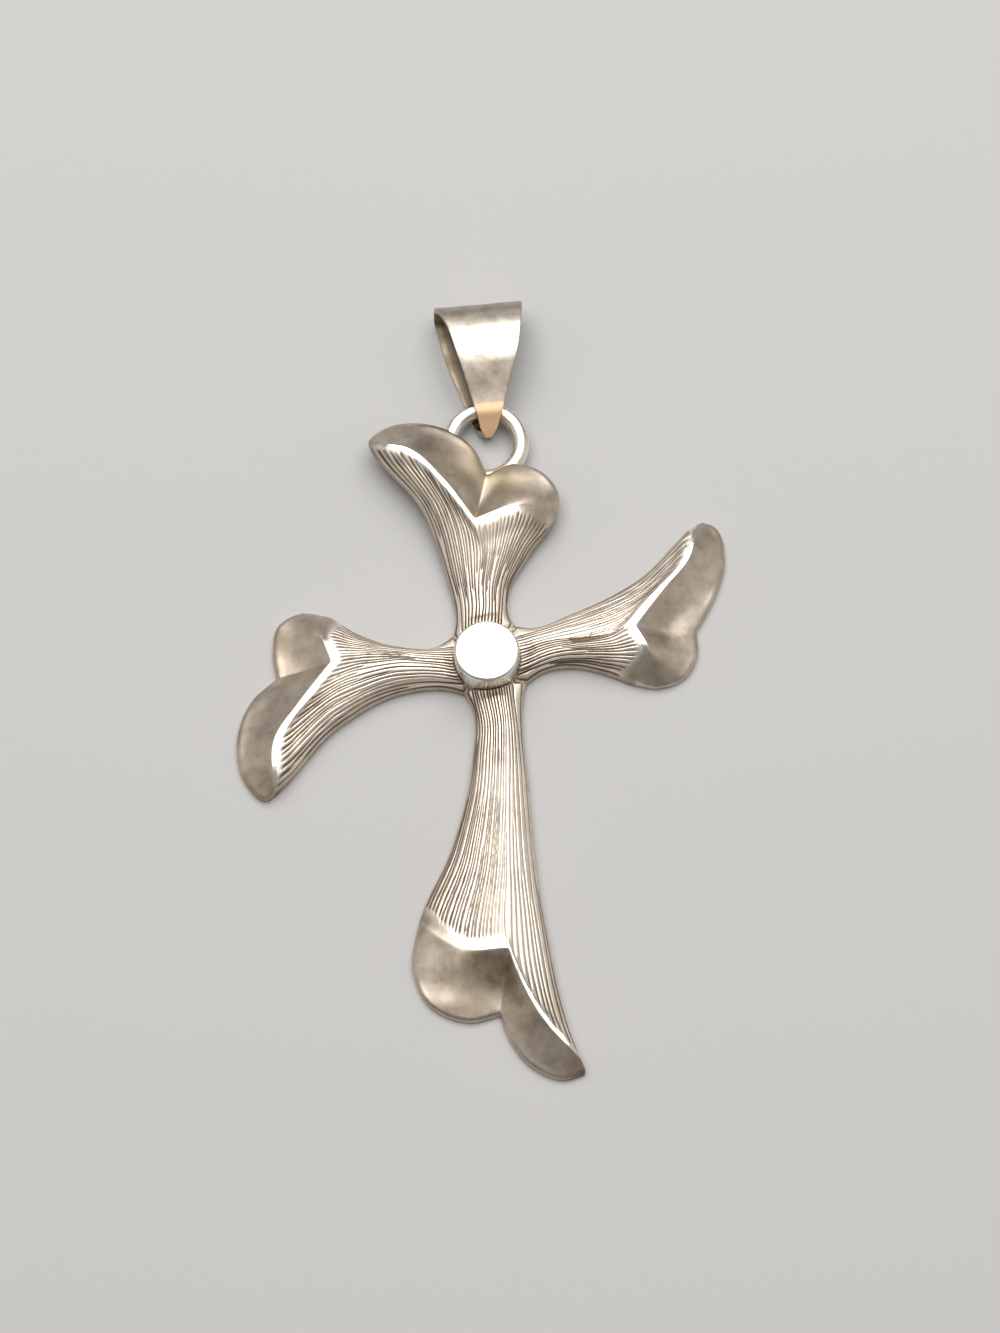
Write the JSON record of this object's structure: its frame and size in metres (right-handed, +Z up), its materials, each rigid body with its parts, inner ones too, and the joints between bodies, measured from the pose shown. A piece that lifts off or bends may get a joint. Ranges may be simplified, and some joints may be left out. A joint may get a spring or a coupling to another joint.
{
  "type": "cross pendant",
  "caption": "Silver cross pendant with curved, flared and engraved arms in a pinwheel, a round stud over the crossing, a soldered ring and a loose tapered bail, lying on its back.",
  "frame": {"origin": "on the flat back, under the middle of the crossing", "axes": "+Y along the pendant's long axis towards the ring and bail, +Z up out of the engraved front, +X to the right as one looks at the front with the bail away"},
  "size_m": [0.0448, 0.0756, 0.0048],
  "materials": {
    "engraved_silver": "warm tarnished silver, engraved arm tops with dark grooves, polished crests and satin bevels",
    "polished_silver": "bright polished silver with fine wear",
    "bail_silver": "worn polished silver strip with a copper-toned tip"
  },
  "bodies": {
    "root": {"cross": "engraved_silver", "boss": "polished_silver", "bail": "bail_silver"}
  },
  "joints": []
}
